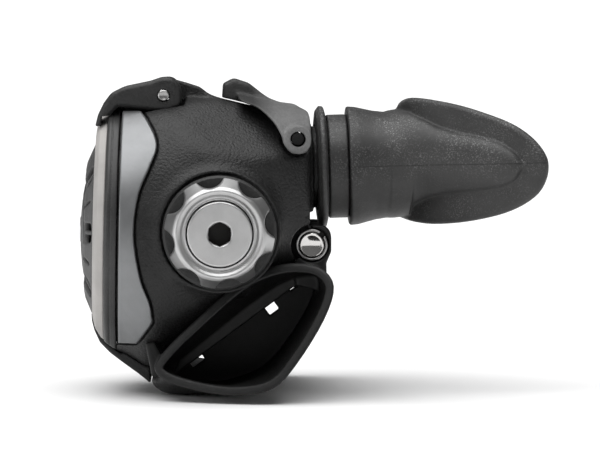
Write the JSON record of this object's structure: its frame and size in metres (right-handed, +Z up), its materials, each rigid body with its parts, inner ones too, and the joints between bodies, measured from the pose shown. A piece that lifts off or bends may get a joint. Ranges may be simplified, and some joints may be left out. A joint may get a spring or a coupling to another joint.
{
  "type": "diving regulator second stage",
  "caption": "Mouth-held breathing demand valve with a sprung purge cover, adjusting knob, venturi lever, exhaust tee and soft bite mouthpiece.",
  "frame": {"origin": "centre of the hose inlet's end face", "axes": "+Y out of the hose inlet along the air valve's barrel, +X towards the diver along the mouthpiece, +Z up"},
  "size_m": [0.1238, 0.09, 0.0844],
  "materials": {
    "black_nylon": "moulded glass-filled nylon with a fine spark texture",
    "dark_plastic": "smooth dark moulding",
    "gunmetal": "satin gunmetal with a fine grain",
    "warm_grey_metal": "satin warm grey",
    "grey_plastic": "mid-grey moulding with a fine texture",
    "chromed_brass": "polished chrome plate",
    "satin_metal": "bead-blasted satin",
    "stainless_steel": "drawn stainless steel",
    "black_rubber": "moulded O-ring rubber",
    "mouthpiece_rubber": "soft dusty silicone rubber",
    "clear_silicone": "translucent silicone"
  },
  "bodies": {
    "case": {"case": "black_nylon", "side_panel_left": "gunmetal", "side_panel_right": "gunmetal", "cover_hinge_pin": "stainless_steel", "diaphragm": "clear_silicone", "diaphragm_clamp_ring": "dark_plastic", "valve_barrel": "chromed_brass", "barrel_nut": "chromed_brass", "barrel_o_ring_knob": "black_rubber", "barrel_o_ring_inlet": "black_rubber", "orifice": "satin_metal", "orifice_o_ring": "black_rubber", "poppet_spring": "stainless_steel", "exhaust_tee": "dark_plastic", "tee_pin": "chromed_brass", "tee_pin_clip": "stainless_steel", "mouthpiece": "mouthpiece_rubber", "mouthpiece_clamp": "dark_plastic"},
    "cover": {"cover_ring": "dark_plastic", "trim_ring": "warm_grey_metal", "front_grille": "grey_plastic", "purge_retainer": "black_nylon", "purge_spring": "stainless_steel", "hinge_bridge": "black_nylon", "bottom_clasp": "black_nylon"},
    "purge": {"purge_button": "dark_plastic", "purge_badge": "satin_metal"},
    "diaphragm_plate": {"diaphragm_disc": "stainless_steel"},
    "lever": {"demand_lever": "stainless_steel"},
    "poppet": {"poppet": "dark_plastic", "poppet_seat": "black_rubber"},
    "pad": {"spring_pad": "satin_metal"},
    "knob": {"knob_base": "black_nylon", "knob_grip_ring": "satin_metal", "knob_cap": "satin_metal"},
    "spindle": {"adjusting_spindle": "satin_metal", "spindle_o_ring": "black_rubber"},
    "venturi": {"venturi_lever": "grey_plastic", "venturi_vane": "dark_plastic"},
    "exhaust_flap": {"exhaust_valve": "clear_silicone"}
  },
  "joints": [
    {"name": "cover_hinge", "type": "hinge", "parent": "case", "child": "cover", "pos_m": [-0.0147, -0.045, 0.0353], "axis": [0, 1, 0], "range_deg": [0, 100]},
    {"name": "purge_press", "type": "slide", "parent": "cover", "child": "purge", "axis": [0.9998, 0, -0.0209], "range_m": [0, 0.0035], "stiffness_N_per_m": 900, "deforming": ["purge_spring"]},
    {"name": "diaphragm_travel", "type": "slide", "parent": "case", "child": "diaphragm_plate", "axis": [0.9998, 0, -0.0209], "range_m": [0, 0.0035], "deforming": ["diaphragm"]},
    {"name": "lever_swing", "type": "hinge", "parent": "case", "child": "lever", "pos_m": [0.002, -0.031, 0], "axis": [0, 0, 1], "range_deg": [0, 13]},
    {"name": "poppet_travel", "type": "slide", "parent": "case", "child": "poppet", "axis": [0, -1, 0], "range_m": [0, 0.001], "deforming": ["poppet_spring"]},
    {"name": "knob_turn", "type": "hinge", "parent": "case", "child": "knob", "pos_m": [0, -0.08, 0], "axis": [0, 1, 0], "range_deg": [-270, 270]},
    {"name": "spindle_travel", "type": "slide", "parent": "knob", "child": "spindle", "axis": [0, 1, 0], "range_m": [-0.00095, 0.00095]},
    {"name": "spring_pad_travel", "type": "slide", "parent": "case", "child": "pad", "axis": [0, 1, 0], "range_m": [-0.00095, 0.00095]},
    {"name": "venturi_swing", "type": "hinge", "parent": "case", "child": "venturi", "pos_m": [0.0207, -0.045, 0.0239], "axis": [0, 1, 0], "range_deg": [0, 12.5]},
    {"name": "exhaust_flap_lift", "type": "slide", "parent": "case", "child": "exhaust_flap", "axis": [0.5948, 0, -0.8038], "range_m": [0, 0.0009], "stiffness_N_per_m": 60}
  ],
  "couplings": [
    {"joint": "diaphragm_travel", "follows": "purge_press", "ratio": 1},
    {"joint": "lever_swing", "follows": "purge_press", "rad_per_m": 62.5},
    {"joint": "poppet_travel", "follows": "purge_press", "ratio": 0.275},
    {"joint": "spindle_travel", "follows": "knob_turn", "m_per_rad": 0.00019894},
    {"joint": "spring_pad_travel", "follows": "knob_turn", "m_per_rad": 0.00019894}
  ]
}
